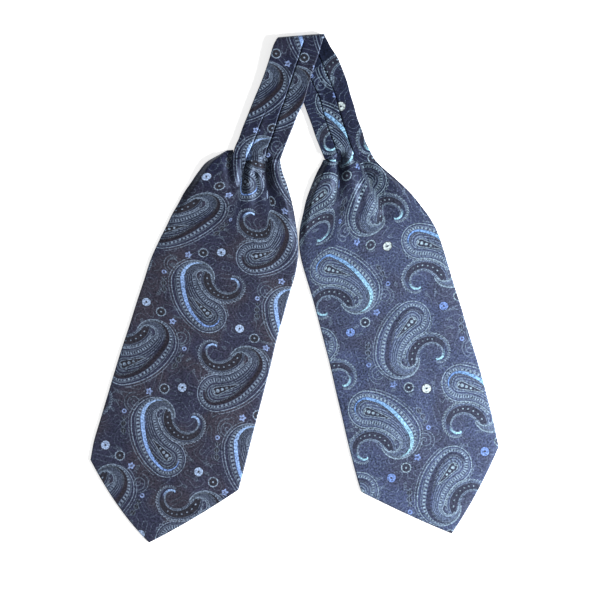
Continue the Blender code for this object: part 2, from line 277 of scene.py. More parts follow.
def blade_shares(blade, step):
    tip = share_of_tip(blade)
    count = round(HALF_WIDE / step)
    left = [mix(EDGE_SHARES[-1], tip, i / count) for i in range(1, count)]
    right = [mix(tip, 1 - EDGE_SHARES[-1], i / count) for i in range(1, count)]
    return EDGE_SHARES + left + [tip] + right + [1 - s for s in reversed(EDGE_SHARES)]


def blade_rows(fine, coarse):
    near_neck = [NECK_PART * i / fine for i in range(fine)]
    rest = [mix(NECK_PART, HEM_ROWS[0], i / coarse) for i in range(coarse)]
    return near_neck + rest + HEM_ROWS


def edge_distance(blade, down, share, width):
    """How far a place on the blade is from the nearest folded edge."""
    neck = down * BLADE_LONG + 60.0 * smooth((share - blade.shoulder) / 0.03)
    return min(share * width, (1 - share) * width, (1 - down) * BLADE_LONG, neck)


def lay_blade_front(name, blade):
    def place(share, down):
        x, y, width = blade_place(blade, down, share)
        height = cloth_height(blade, edge_distance(blade, down, share, width), x, y)
        return (x, y, height, *weave_place(blade, x, y))

    mesh = bmesh.new()
    add_grid(mesh, blade_shares(blade, 1.6), blade_rows(90, 170), place)
    return add_piece(name, mesh, CLOTH)


left_front = lay_blade_front("left_blade_front", LEFT_BLADE)
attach(left_front, "root")
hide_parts("blade_left_front")


# The jacquard silk. A dark satin ground carries rows of paisleys, each drawn as bands that follow a hooked
# spine, with a smaller curled leaf beside it and rosettes above it; every second row is the mirror image of
# the first.
class Amount:
    """A number that varies over the cloth; sums and products of such numbers add Math nodes."""

    def __init__(self, cloth, socket):
        self.cloth = cloth
        self.socket = socket

    def __add__(self, other):
        return self.cloth.math("ADD", self, other)

    def __sub__(self, other):
        return self.cloth.math("SUBTRACT", self, other)

    def __rsub__(self, other):
        return self.cloth.math("SUBTRACT", other, self)

    def __mul__(self, other):
        return self.cloth.math("MULTIPLY", self, other)

    def __truediv__(self, other):
        return self.cloth.math("DIVIDE", self, other)


class Cloth:
    """One material's nodes, with the few kinds of node that the silk is drawn from."""

    def __init__(self, name):
        self.material = bpy.data.materials.new(name)
        self.material.use_nodes = True
        self.nodes = self.material.node_tree.nodes
        self.links = self.material.node_tree.links
        self.shader = self.nodes["Principled BSDF"]

    def node(self, kind, settings=None, inputs=None):
        made = self.nodes.new(kind)
        for name, value in (settings or {}).items():
            setattr(made, name, value)
        for name, value in (inputs or {}).items():
            self.feed(made.inputs[name], value)
        return made

    def feed(self, socket, value):
        if isinstance(value, Amount):
            value = value.socket
        if isinstance(value, bpy.types.NodeSocket):
            self.links.new(value, socket)
        else:
            socket.default_value = value

    def math(self, operation, *values):
        made = self.node("ShaderNodeMath", {"operation": operation}, dict(enumerate(values)))
        return Amount(self, made.outputs[0])

    def choose(self, share, first, second):
        made = self.node("ShaderNodeMix", {"data_type": "FLOAT"}, {0: share, 2: first, 3: second})
        return Amount(self, made.outputs[0])

    def colour(self, share, first, second):
        made = self.node("ShaderNodeMix", {"data_type": "RGBA"}, {0: share, 6: first, 7: second})
        return made.outputs[2]

    def ramp(self, value, low, high):
        """From 0 where the value is low to 1 where it is high, eased at both ends."""
        made = self.node("ShaderNodeMapRange", {"interpolation_type": "SMOOTHSTEP"},
                         {0: value, 1: low, 2: high})
        return Amount(self, made.outputs[0])

    def near(self, distance, reach, blur=0.3):
        """1 where a distance is within reach of nothing, 0 further off."""
        away = self.math("ABSOLUTE", distance)
        made = self.node("ShaderNodeMapRange", {"interpolation_type": "LINEAR"},
                         {0: away, 1: reach - blur, 2: reach + blur, 3: 1.0, 4: 0.0})
        return Amount(self, made.outputs[0])

    def most(self, *values):
        result = values[0]
        for value in values[1:]:
            result = self.math("MAXIMUM", result, value)
        return result

    def wrap(self, value, low, high):
        return self.math("WRAP", value, high, low)

    def length(self, x, y):
        return self.math("SQRT", x * x + y * y)

    def beats(self, value, step, low, high):
        """Marks in a row, one to each step."""
        return self.ramp(self.math("SINE", value * (2 * pi / step)), low, high)

    def arches(self, value, step):
        """A row of arches from 0 to 1, one to each step."""
        return self.math("ABSOLUTE", self.math("SINE", value * (pi / step)))

    def petalled(self, x, y, petals):
        """The distance from a flower's middle, and a wave round it with a crest for each petal."""
        return self.length(x, y), self.math("COSINE", self.math("ARCTAN2", y, x) * petals)

    def clouds(self, place, scale, detail):
        made = self.node("ShaderNodeTexNoise", None, {"Vector": place, "Scale": scale, "Detail": detail})
        return Amount(self, made.outputs[0])


PATTERN_WIDE = 97.0
PATTERN_TALL = 153.0
MIRROR_SHIFT = 62.6  # the mirrored row starts this far to the side
MOTIF_COSINE, MOTIF_SINE = 0.9614, 0.2751  # the motifs lean by 16 degrees
PAISLEY_SCALE = 1.03  # places are read this much further out, so the paisley is drawn 3% smaller
FOLD_SHADE_STARTS = 500.0  # past this v in the weave, the silk is painted one plain dark colour: painted shade for the hollow of the fold

# start is the middle of one paisley's hook in the weave; a silk that is turned lies the other way up. neck is
# a darker ground at the neck, painted shade for the throat and band, and the fold's shade colour is painted
# shade for the hollow of the fold.
Silk = namedtuple("Silk", "name start turned neck ground ground_warm line line_dim bright bright_end "
                          "mirrored_bright brown disc mirrored_disc petals reverse sheen_tint")


def motif_row(cloth, u, v, top, left):
    """The place in one motif, in rows that start at top and columns at left, and whether it is mirrored."""
    tall = PATTERN_TALL / 2
    row = cloth.math("FLOOR", (v - top) / tall)
    odd = cloth.math("MODULO", cloth.math("ABSOLUTE", row), 2.0)
    down = (v - top) - row * tall + top
    side = 1.0 - odd * 2.0
    across = cloth.wrap((u - odd * MIRROR_SHIFT) * side, left, left + PATTERN_WIDE)
    x = across * MOTIF_COSINE - down * MOTIF_SINE
    y = across * -MOTIF_SINE - down * MOTIF_COSINE
    return x, y, odd


def draw_paisley(cloth, x, y):
    """The masks of one paisley and its leaf; x to the right and y up from the middle of the hook, in mm."""
    hooked = cloth.math("GREATER_THAN", y, 0.0)
    turn = cloth.math("ARCTAN2", y, x * -1.0) / pi
    arm = 32.85 - x
    bend = cloth.math("ARCTAN2", y * -1.0, arm)
    side_low = 49.85 - cloth.length(arm, y)
    half_low = bend * 5.4 + 13.6
    side_high = 17.0 - turn * 4.0 - cloth.length(x, y)
    half_high = cloth.math("POWER", cloth.math("MAXIMUM", 1.0 - turn, 0.001), 1.5) * 12.6 + 1.1
    side = cloth.choose(hooked, side_low, side_high)
    half = cloth.choose(hooked, half_low, half_high)
    along = cloth.choose(hooked, bend * 49.85, turn * -75.0)

    end_x = x - 6.0
    end_y = y + 42.0
    past_end = end_x * 0.842 - end_y * 0.539
    end_side = end_x * 0.539 + end_y * 0.842
    at_end = cloth.ramp(past_end, -1.5, 1.5)
    end_turn = cloth.math("ABSOLUTE", cloth.math("ARCTAN2", end_side, past_end))
    reach = cloth.math("ABSOLUTE", side) / half
    reach = cloth.choose(at_end, reach, cloth.length(end_x, end_y) / 19.0)
    along = cloth.choose(at_end, along, 78.0 - end_turn * 18.0)
    half = cloth.choose(at_end, half, 19.0)

    body = cloth.near(reach, 1.0, 0.015)
    outline = cloth.near((reach - 1.0) * half, 0.34)
    rungs = cloth.beats(along, 3.4, -0.35, 0.35)

    left_side = cloth.ramp(side, 1.5, -0.5)
    left_side = cloth.math("MAXIMUM", left_side, at_end * cloth.ramp(end_side, 8.0, -2.0))
    bow = (along - 4.0) / 32.0
    crest = cloth.math("EXPONENT", bow * bow * -1.0) * 0.48 + 0.35
    inward = (1.0 - reach) * 0.83 / crest
    grain_wide = half * crest * 1.2
    lines_left = cloth.most(*[cloth.near((inward - at) * grain_wide, wide)
                              for at, wide in ((0.26, 0.26), (0.37, 0.22), (0.61, 0.22))])
    ladder_left = cloth.near(inward - 0.49, 0.11, 0.02) * rungs
    crescent_width = cloth.ramp(along, -52.0, 0.0) * (2.0 - cloth.ramp(along, 15.0, 80.0) * 1.4)
    crescent = (cloth.near((1.0 - reach - crest) * half, crescent_width, 0.2) * left_side
                * cloth.ramp(crescent_width, 0.15, 0.5))
    specks = (cloth.near((inward - 1.08) * grain_wide, 0.55) * left_side
              * cloth.beats(along, 1.5, -0.3, 0.4))

    right_side = 1.0 - left_side
    out = (reach - 1.0) * half
    echo = (cloth.near(out - 2.9, 0.26) * left_side * cloth.ramp(along, -45.0, -30.0)
            * cloth.ramp(along, 66.0, 52.0))
    frill = (cloth.near(out - 1.0 - cloth.arches(along, 3.8) * 1.7, 0.30) * right_side
             * cloth.ramp(along, -8.0, 4.0) * cloth.ramp(along, 72.0, 62.0))
    signed = cloth.choose(cloth.math("GREATER_THAN", side, 0.0), 1.0 - reach, reach + 1.0)
    stripes = cloth.ramp(cloth.math("COSINE", signed * (2 * pi / 0.145)), 0.25, 0.85)
    stripes = stripes * cloth.ramp(signed * 0.83 / crest, 1.12, 1.2) * cloth.near(reach, 0.60, 0.02)
    lines_right = cloth.most(*[cloth.near((reach - at) * half, wide)
                               for at, wide in ((0.88, 0.24), (0.81, 0.20), (0.62, 0.20))])
    ladder_right = cloth.near(reach - 0.715, 0.085, 0.02) * rungs

    drop_long = (x + 0.7) * 0.66 - (y + 31.7) * 0.75
    drop_wide = (x + 0.7) * 0.75 + (y + 31.7) * 0.66
    drop_half = cloth.math("MAXIMUM", (drop_long + 15.0) * 0.165, 0.3)
    drop_away = cloth.length(drop_wide, cloth.math("MAXIMUM", drop_long - 10.0, 0.0)) - drop_half
    drop_top = cloth.ramp(drop_long, -15.0, -13.0)
    drop = cloth.near(cloth.math("MAXIMUM", drop_away, 0.0), 0.5, 0.1) * drop_top
    drop_line = cloth.near(drop_away, 0.28) * drop_top
    drop_halo = cloth.near(drop_away - 1.9, 0.24) * drop_top
    seed_step = cloth.wrap(drop_long, -2.4, 2.4)
    seeds = (cloth.near(cloth.length(drop_wide, seed_step), drop_long * 0.06 + 1.15, 0.35)
             * cloth.near(drop_long - 5.0, 9.0, 0.5))

    masks = {
        "body": body,
        "dim": cloth.most(lines_left * left_side, lines_right * right_side, drop_halo,
                          stripes * cloth.ramp(drop_away, 0.0, 1.0), specks * 0.8) * body,
        "line": cloth.most(outline, ladder_left * left_side * body * 0.8,
                           ladder_right * right_side * body * 0.8, drop_line * body, echo * 0.7, frill * 0.8),
        "crescent": crescent,
        "blend": cloth.ramp(along, -30.0, 70.0),
        "brown": cloth.most(drop, cloth.near((inward - 1.08) * grain_wide, 1.0, 0.2) * left_side) * body,
        "seeds": seeds * drop,
    }

    leaf_x = x - 30.0
    leaf_y = y + 3.0
    leaf_turn = cloth.wrap(cloth.math("ARCTAN2", leaf_y, leaf_x) - radians(155), 0.0, 2 * pi)
    grown = leaf_turn / radians(280)
    turned_in = cloth.near(leaf_turn - radians(140), radians(140), 0.04)
    leaf_side = cloth.length(leaf_x, leaf_y) - (25.0 - grown * 20.5)
    leaf_half = (7.4 - grown * 6.2) * cloth.ramp(grown, -0.12, 0.10)
    leaf_reach = cloth.math("ABSOLUTE", leaf_side) / leaf_half
    leaf_run = leaf_turn * 19.0
    leaf = cloth.near(leaf_reach, 1.0, 0.04) * turned_in
    leaf_line = cloth.near((leaf_reach - 1.0) * leaf_half, 0.28) * turned_in
    outer_line = cloth.near((leaf_reach - 0.68) * leaf_half, 0.22) * turned_in * cloth.ramp(grown, 0.75, 0.6)
    leaf_out = leaf_side - leaf_half
    fringe = cloth.near(leaf_out - cloth.arches(leaf_run, 2.9) * 1.5 - 0.7, 0.30)
    fringe = fringe * turned_in * cloth.ramp(grown, 0.02, 0.1)
    fringe_dots = cloth.near(leaf_out - 1.2, 0.45) * turned_in * cloth.beats(leaf_run, 2.9, 0.3, 0.8)
    lace = cloth.near(leaf_side + leaf_half * 0.80, 0.55) * turned_in * cloth.beats(leaf_run, 1.9, -0.1, 0.5)
    leaf_bright = cloth.near(leaf_side + leaf_half * 0.5, 1.1) * cloth.ramp(grown, 0.58, 0.78) * turned_in
    leaf_brown = cloth.near(leaf_reach, 0.64, 0.04) * turned_in * cloth.ramp(grown, 0.66, 0.5)
    leaf_seed = cloth.length(leaf_side, cloth.wrap(leaf_run, -2.5, 2.5))
    leaf_seed = cloth.near(leaf_seed, 0.7) * cloth.ramp(grown, 0.42, 0.36) * turned_in
    outside = 1.0 - body

    masks["leaf"] = leaf * outside
    masks["dim"] = cloth.most(masks["dim"], cloth.most(leaf_line, outer_line) * outside)
    leaf_lines = cloth.most(fringe, fringe_dots * 0.8, lace * 0.9, leaf_seed)
    masks["line"] = cloth.most(masks["line"], leaf_lines * outside)
    masks["brown"] = cloth.most(masks["brown"], leaf_brown * outside)
    masks["leaf_bright"] = leaf_bright * outside
    return masks


def draw_rosettes(cloth, x, y):
    """The masks of the small flowers, scroll and sprig round a paisley, on the same axes."""
    masks = {}
    away, petal = cloth.petalled(x - 21.0, y - 30.4, 10.0)
    masks["disc"] = cloth.near(away, 4.4, 0.25) * (1.0 - cloth.near(away, 1.1, 0.3)) * (petal * 0.12 + 0.88)
    masks["halo"] = cloth.near(away, 5.3, 0.5)

    away, petal = cloth.petalled(x - 3.2, y - 29.3, 12.0)
    ring = cloth.near(away - 4.6 - petal * 0.2, 0.48)
    masks["ring"] = cloth.most(ring, cloth.near(away, 0.9, 0.35))
    masks["ring_dark"] = cloth.near(away, 4.4, 0.4)

    away, petal = cloth.petalled(x + 12.0, y - 26.6, 5.0)
    flower = cloth.near(away - 2.0 - petal * 0.7, 0.95)
    away = cloth.length(x + 37.0, y - 7.0)
    small = cloth.near(away - 1.7, 0.6)
    masks["petals"] = cloth.most(flower, small)

    scroll_x = x + 27.0
    scroll_y = y - 16.0
    away = cloth.length(scroll_x, scroll_y)
    turn = cloth.math("ARCTAN2", scroll_y, scroll_x) / (2 * pi)
    coil = cloth.wrap(away - turn * 4.4, -2.2, 2.2)
    tendril = cloth.near(away - 9.8, 0.32) * cloth.ramp(scroll_y * 0.4 - scroll_x, 0.0, 5.0)
    masks["scroll"] = cloth.most(cloth.near(coil, 0.36) * cloth.near(away - 4.0, 4.6, 0.4), tendril)

    sprig_x = x + 38.0
    sprig_y = y + 9.0
    bend = sprig_x - sprig_y * sprig_y * 0.012
    leaf_away = cloth.math("ABSOLUTE", bend) - cloth.arches(sprig_y, 7.0) * 2.6
    sprig_end = cloth.near(sprig_y, 10.5, 0.3)
    stem = cloth.near(bend, 0.22) * cloth.near(sprig_y, 11.5, 0.3)
    masks["sprig"] = cloth.most(cloth.near(leaf_away, 0.34) * sprig_end, stem)
    masks["sprig_fill"] = cloth.near(cloth.math("MAXIMUM", leaf_away, 0.0), 0.1, 0.1) * sprig_end
    return masks


def weave_silk(silk):
    """One silk's material, layer over layer: the ground, darkened towards the neck as painted shade, small
    flowers, paisleys, a plain dark colour as painted shade in the fold, and the weave's grain.
    """
    cloth = Cloth(silk.name)
    place = cloth.node("ShaderNodeUVMap", {"uv_map": "weave"}).outputs[0]
    split = cloth.node("ShaderNodeSeparateXYZ", None, {0: place})
    weft = Amount(cloth, split.outputs[0])
    warp = Amount(cloth, split.outputs[1])
    u = weft - silk.start[0]
    v = warp - silk.start[1]
    if silk.turned:
        u = u * -1.0
        v = v * -1.0

    mottle = cloth.ramp(cloth.clouds(place, 0.022, 2.0), 0.40, 0.62)
    # Painted shade: the ground darkens towards the neck, into the neck colour, for the shade of the throat
    # and the band.
    low = cloth.ramp(warp, 5.0, 110.0)
    ground = cloth.colour(low, silk.neck, silk.ground)
    colour = cloth.colour(mottle * (low * 0.7 + 0.3), ground, silk.ground_warm)

    vines = cloth.near(cloth.wrap(cloth.clouds(place, 0.055, 0.0) * 7.0, -0.5, 0.5), 0.065, 0.035)
    beads = cloth.ramp(cloth.math("SINE", u * 2.3) * cloth.math("SINE", v * 2.3), -0.4, 0.3)
    colour = cloth.colour(vines * (beads * 0.45 + 0.15), colour, silk.line_dim)

    x, y, odd = motif_row(cloth, u, v, -50.0, -58.0)
    small = draw_rosettes(cloth, x, y)
    colour = cloth.colour(small["sprig_fill"] * 0.8, colour, silk.brown)
    colour = cloth.colour(cloth.most(small["scroll"], small["sprig"]) * 0.9, colour, silk.line_dim)
    colour = cloth.colour(small["petals"], colour, silk.petals)
    colour = cloth.colour(cloth.most(small["ring_dark"], small["halo"]) * 0.85, colour, silk.brown)
    colour = cloth.colour(small["ring"], colour, silk.line)
    disc = cloth.colour(odd, silk.disc, silk.mirrored_disc)
    colour = cloth.colour(small["disc"], colour, disc)

    x, y, odd = motif_row(cloth, u, v, -19.5, -40.0)
    large = draw_paisley(cloth, x * PAISLEY_SCALE, y * PAISLEY_SCALE)
    under = cloth.colour(cloth.most(large["body"], large["leaf"]), colour, ground)
    colour = cloth.colour(large["brown"] * 0.85, under, silk.brown)
    colour = cloth.colour(large["dim"], colour, silk.line_dim)
    colour = cloth.colour(large["line"], colour, silk.line)
    bright = cloth.colour(large["blend"], silk.bright_end, silk.bright)
    bright = cloth.colour(odd, bright, silk.mirrored_bright)
    colour = cloth.colour(large["crescent"], colour, bright)
    colour = cloth.colour(large["leaf_bright"], colour, silk.bright_end)
    colour = cloth.colour(large["seeds"], colour, silk.line)

    twill = cloth.math("SINE", (weft + warp) * (2 * pi / 0.9))
    grain = cloth.clouds(place, 0.55, 4.0) * 4.2 + twill * 0.14 + cloth.clouds(place, 0.035, 1.0) * 0.8 - 1.5
    grain = cloth.math("MAXIMUM", grain, 0.25) * 0.62
    # Painted shade: far enough along the warp, the pattern gives way to one plain dark colour, the shade in
    # the hollow of the fold.
    reverse = cloth.ramp(warp, FOLD_SHADE_STARTS - 1.0, FOLD_SHADE_STARTS)
    colour = cloth.colour(reverse, colour, silk.reverse)
    grained = cloth.node("ShaderNodeVectorMath", {"operation": "SCALE"}, {0: colour, 3: grain})
    cloth.feed(cloth.shader.inputs["Base Color"], grained.outputs[0])

    thread = cloth.most(large["line"], large["crescent"], small["disc"], small["ring"])
    cloth.feed(cloth.shader.inputs["Roughness"], 0.48 - thread * 0.10)
    relief = cloth.clouds(place, 0.09, 3.0) * 0.6 + twill * 0.03
    bump = cloth.node("ShaderNodeBump", None, {"Height": relief, "Strength": 0.35, "Distance": 0.0008})
    cloth.feed(cloth.shader.inputs["Normal"], bump.outputs[0])
    cloth.shader.inputs["Sheen Weight"].default_value = 0.06
    cloth.shader.inputs["Sheen Roughness"].default_value = 0.4
    cloth.shader.inputs["Sheen Tint"].default_value = silk.sheen_tint
    cloth.shader.inputs["Specular IOR Level"].default_value = 0.32
    cloth.shader.inputs["Specular Tint"].default_value = silk.sheen_tint
    return cloth.material


NAVY_SILK = Silk(
    name="navy_paisley_silk",
    start=(-22.6, 119.6),
    turned=False,
    # neck: the ground's painted shade at the throat and band
    neck=(0.012, 0.013, 0.034, 1),
    ground=(0.027, 0.028, 0.055, 1),
    ground_warm=(0.036, 0.031, 0.044, 1),
    line=(0.211, 0.279, 0.380, 1),
    line_dim=(0.112, 0.151, 0.207, 1),
    bright=(0.17, 0.29, 0.62, 1),
    bright_end=(0.26, 0.40, 0.68, 1),
    mirrored_bright=(0.022, 0.018, 0.024, 1),
    brown=(0.021, 0.018, 0.020, 1),
    disc=(0.33, 0.44, 0.66, 1),
    mirrored_disc=(0.33, 0.44, 0.66, 1),
    petals=(0.22, 0.30, 0.54, 1),
    # painted shade for the hollow of the fold, a plain dark colour
    reverse=(0.008, 0.011, 0.028, 1),
    sheen_tint=(0.50, 0.66, 1.0, 1),
)
navy_silk = weave_silk(NAVY_SILK)
left_front.data.materials.append(navy_silk)


# The left blade's back, a second panel of the same silk. It lies on the table, a little smaller than the
# front, and its edges are turned up to meet the front's in the seam that the folded edge hides.
def lay_blade_back(name, blade):
    def place(share, down):
        x, y, width = blade_place(blade, down, share)
        edge = edge_distance(blade, down, share, width)
        height = FRONT_RIM * (1 - sqrt(max(0.0, 1 - (1 - min(1.0, edge / ROLL)) ** 2)))
        u, v = weave_place(blade, x, y)
        return x, y, max(0.0, height - 0.04), 400.0 - u, v

    mesh = bmesh.new()
    add_grid(mesh, blade_shares(blade, 5.0), blade_rows(24, 56), place)
    bmesh.ops.reverse_faces(mesh, faces=mesh.faces[:])
    return add_piece(name, mesh, CLOTH)


left_back = lay_blade_back("left_blade_back", LEFT_BLADE)
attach(left_back, "root")
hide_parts("blade_left_back")
left_back.data.materials.append(navy_silk)


# The right blade's front, cut and gathered as the left one's. It is laid the other way up the cloth, so its
# paisleys hang upside down. Its silk is a lighter, slate blue copy of the left one's colours: painted sheen,
# for the light that it catches on the other side of the weave.
RIGHT_BLADE = Blade(
    throat=(52.0, 126.5),
    lean=15.76,
    sections=[Section(*reach) for reach in (
        (-10, 21.5, 24.0), (2, 32.0, 26.5), (14, 41.5, 32.5), (26, 50.0, 40.5), (38, 56.5, 48.0),
        (50, 63.0, 54.5), (62, 67.5, 59.6), (74, 70.0, 64.2), (86, 70.8, 67.4), (98, 70.7, 69.0),
        (122, 70.3, 69.7), (146, 70.6, 70.0), (170, 71.1, 70.8), (194, 71.7, 71.1), (218, 73.0, 71.6),
        (242, 74.0, 72.0), (266, 75.2, 71.5), (290, 76.0, 70.9), (314, 76.2, 69.2), (330, 75.2, 68.0),
    )],
    neck_edge=[(0.0, 29.4, 129.6), (0.5, 54.7, 129.6), (1.0, 79.9, 129.6)],
    neck_along=(-8.7, 4.8),
    shoulder=0.0,
    hem=Hem(left_corner=321.7, tip=386.5, right_corner=315.6, left_bow=1.4, right_bow=3.6),
    troughs=[
        Trough(points=[(44, 138), (44.5, 123.5), (43, 98.5), (40, 84)], width=(3.4, 7.0), depth=(7.4, 0.8)),
        Trough(points=[(60.5, 138), (65, 120.5), (75, 103.5), (82, 90.5), (89, 74.5)],
               width=(4.0, 9.0), depth=(8.2, 1.6)),
        Trough(points=[(89, 74.5), (98, 75), (108, 78)], width=(3.5, 4.0), depth=(1.4, 0.2)),
        Trough(points=[(65, 100), (65, 74)], width=(3.0, 5.5), depth=(2.6, 0.3)),
        Trough(points=[(47, 83.5), (22, 65.5)], width=(3.6, 6.0), depth=(1.2, 0.2)),
        Trough(points=[(53, 132), (56, 110), (62, 88)], width=(4.2, 6.5), depth=(-1.8, -0.6)),
        Trough(points=[(36, 124), (33, 96)], width=(3.5, 5.5), depth=(-0.8, -0.2)),
        Trough(points=[(70, 132), (80, 110), (94, 90)], width=(8.5, 11.0), depth=(4.8, 1.2)),
        Trough(points=[(100, 60), (116, 12), (124, -30)], width=(7.0, 15.0), depth=(0.5, 0.1)),
        Trough(points=[(40, 50), (62, -6), (80, -70)], width=(9.0, 16.0), depth=(-0.5, -0.15)),
        Trough(points=[(122, -60), (142, -130), (160, -190)], width=(12.0, 16.0), depth=(0.45, 0.2)),
        Trough(points=[(76, -100), (100, -165), (128, -215)], width=(12.0, 15.0), depth=(-0.45, -0.2)),
    ],
    pleat_lines=((-7.75, -0.345), (10.4, 0.19)),
    hidden=(-52.0, -23.0, 6.0),
    squeeze=0.05,
)

right_front = lay_blade_front("right_blade_front", RIGHT_BLADE)
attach(right_front, "root")
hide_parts("blade_right_front")
# Painted sheen: a lighter, slate blue copy of the navy silk's colours, fading to the dark neck colour towards
# the neck.
PAINTED_SHEEN_SILK = NAVY_SILK._replace(
    name="painted_sheen_paisley_silk",
    start=(-31.2, 128.1),
    turned=True,
    neck=(0.010, 0.012, 0.034, 1),
    ground=(0.047, 0.061, 0.126, 1),
    ground_warm=(0.042, 0.048, 0.088, 1),
    line=(0.243, 0.340, 0.427, 1),
    line_dim=(0.145, 0.202, 0.285, 1),
    bright=(0.13, 0.25, 0.54, 1),
    bright_end=(0.28, 0.52, 0.66, 1),
    mirrored_bright=(0.034, 0.040, 0.074, 1),
    brown=(0.026, 0.026, 0.042, 1),
    disc=(0.16, 0.26, 0.58, 1),
    mirrored_disc=(0.50, 0.60, 0.62, 1),
    petals=(0.16, 0.24, 0.50, 1),
)
painted_sheen_silk = weave_silk(PAINTED_SHEEN_SILK)
right_front.data.materials.append(painted_sheen_silk)


# The right blade's back, the same as the left one's.
right_back = lay_blade_back("right_blade_back", RIGHT_BLADE)
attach(right_back, "root")
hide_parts("blade_right_back")
right_back.data.materials.append(painted_sheen_silk)


# The neck band's left stretch, on top. The silk is folded into three pleats with a groove between them. It
# wraps round the fold at the top, and its outer pleat runs on down over the blade and fades out there.
# A row gives both ends of one line across the band, their heights, and the two pleats' shares of it.
Row = namedtuple("Row", "left_x left_y right_x right_y left_top right_top one two")

FOLD_LEFT, FOLD_RIGHT = (-17.5, 251.0), (29.7, 254.8)
FOLD_RADIUS = 4.2
FOLD_Y = 250.0  # above this y the inner groove is pressed shut, at the fold
PRESSED_Y = 182.0  # above this y the outer groove is pressed shut
LEFT_SEAM_Y, RIGHT_SEAM_Y = 133.5, 135.0
JOIN_Y = 140.0  # where the right stretch comes down to its blade
LOWEST = 0.55  # the band's lowest cloth, so that its thickness ends on the table
TOP_REACH = 1.7  # how far in from an edge its rounding goes
TO_FOLD_SHADE = 1200.0  # moves a place past the pattern's end, into the plain dark colour that paints the shade in the hollow of the fold
BAND_LEFT = [
    Row(-22.0, 241.6, 27.4, 246.8, 8.7, 9.1, 0.33, 0.61),
    Row(-25.6, 229.5, 23.2, 232.0, 8.0, 9.0, 0.33, 0.61),
    Row(-30.0, 216.5, 18.4, 218.5, 6.9, 8.9, 0.33, 0.61),
    Row(-34.8, 204.0, 14.2, 204.5, 6.1, 8.6, 0.33, 0.61),
    Row(-41.2, 188.9, 9.2, 187.0, 5.6, 7.9, 0.33, 0.61),
    Row(-47.1, 174.0, 2.6, 173.0, 5.3, 6.6, 0.33, 0.63),
    Row(-52.2, 161.5, -2.2, 160.5, 5.2, 5.7, 0.33, 0.65),
    Row(-56.2, 150.0, -7.0, 149.0, 5.2, 5.4, 0.33, 0.66),
    Row(-60.4, 140.5, -11.0, 138.5, 5.3, 5.3, 0.33, 0.66),
    Row(-62.2, 130.6, -14.2, 129.6, 5.4, 5.3, 0.29, 0.68),
    Row(-62.5, 128.2, -14.6, 127.2, 5.4, 5.3, 0.29, 0.68),
]
OUTER_TAIL = [
    Row(-64.3, 116.5, -50.8, 118.0, 5.3, 5.3, 0.5, 0.5),
    Row(-61.6, 103.0, -53.8, 103.0, 5.2, 5.2, 0.5, 0.5),
    Row(-58.8, 94.0, -55.0, 94.0, 4.9, 4.9, 0.5, 0.5),
    Row(-57.2, 86.5, -56.4, 86.5, 4.6, 4.6, 0.5, 0.5),
]
# An edge is drawn from beneath to its top: how far in from the edge, and how far down.
FOLDED_EDGE = [(0.6, 2.05), (0.15, 1.8), (0.0, 1.15), (0.16, 0.55), (0.5, 0.2), (1.0, 0.04), (1.7, 0.0)]
PLEAT_EDGE = [(0.65, 2.4), (0.4, 2.1), (0.25, 1.4), (0.4, 0.75), (0.75, 0.3), (1.2, 0.08), (1.7, 0.0)]
BOTH_FOLDED = (FOLDED_EDGE, FOLDED_EDGE)
BOTH_PLEATED = (PLEAT_EDGE, PLEAT_EDGE)


def rows_round_fold(steps):
    """Rows that carry the band round its fold, from under it to the top."""
    rows = []
    for i in range(steps):
        turn = pi * (1 - i / steps)
        back = FOLD_RADIUS * (1 - sin(turn))
        rows.append(Row(FOLD_LEFT[0] - 0.42 * back, FOLD_LEFT[1] - 0.91 * back,
                        FOLD_RIGHT[0] - 0.28 * back, FOLD_RIGHT[1] - 0.96 * back,
                        4.7 + 4.0 * cos(turn), 4.7 + 4.35 * cos(turn), 0.33, 0.61))
    return rows


def surface_at(rows, share, position):
    row = read_between(rows, position)
    return Vector((mix(row.left_x, row.right_x, share), mix(row.left_y, row.right_y, share),
                   mix(row.left_top, row.right_top, share)))


def surface_normal(rows, share, position):
    last = len(rows) - 1
    before, after = max(0.0, position - 0.05), min(last, position + 0.05)
    along = surface_at(rows, share, after) - surface_at(rows, share, before)
    across = surface_at(rows, 1.0, position) - surface_at(rows, 0.0, position)
    return along.cross(across).normalized()


def standing_open(side, y):
    return 1.0


def add_pleat(mesh, rows, steps, edges, span, shape, weave, sink=0.0, inset=0.0, opened=standing_open):
    """Adds one strip of cloth between two shares of a stretch. Its edges are drawn as told, but pressed flat
    where opened gives 0 instead of 1."""
    left_edge, right_edge = edges
    inner = [i / 10 for i in range(1, 10)]
    columns = [("left", *spot) for spot in left_edge] + [("inner", s, 0.0) for s in inner]
    columns += [("right", *spot) for spot in reversed(right_edge)]
    positions = [(len(rows) - 1) * i / steps for i in range(steps + 1)]

    def place(column, position):
        side, away, drop = column
        row = read_between(rows, position)
        width = hypot(row.right_x - row.left_x, row.right_y - row.left_y)
        start, end = span(row)
        start += inset / width
        end -= inset / width
        if side == "inner":
            reach = TOP_REACH / width
            share = mix(start + reach, end - reach, away)
        else:
            gape = opened(side, mix(row.left_y, row.right_y, 0.5))
            pressed = 0.8 * away if drop < 0.3 else 0.0  # the rounding's lower rows gather at the edge
            away = mix(pressed, away, gape)
            drop *= gape
            share = start + away / width if side == "left" else end - away / width
        spot = surface_at(rows, share, position) - surface_normal(rows, share, position) * (drop + sink)
        height = shape(spot, share, position, drop + sink)
        return (spot.x, spot.y, height, *weave(spot))

    add_grid(mesh, columns, positions, place)


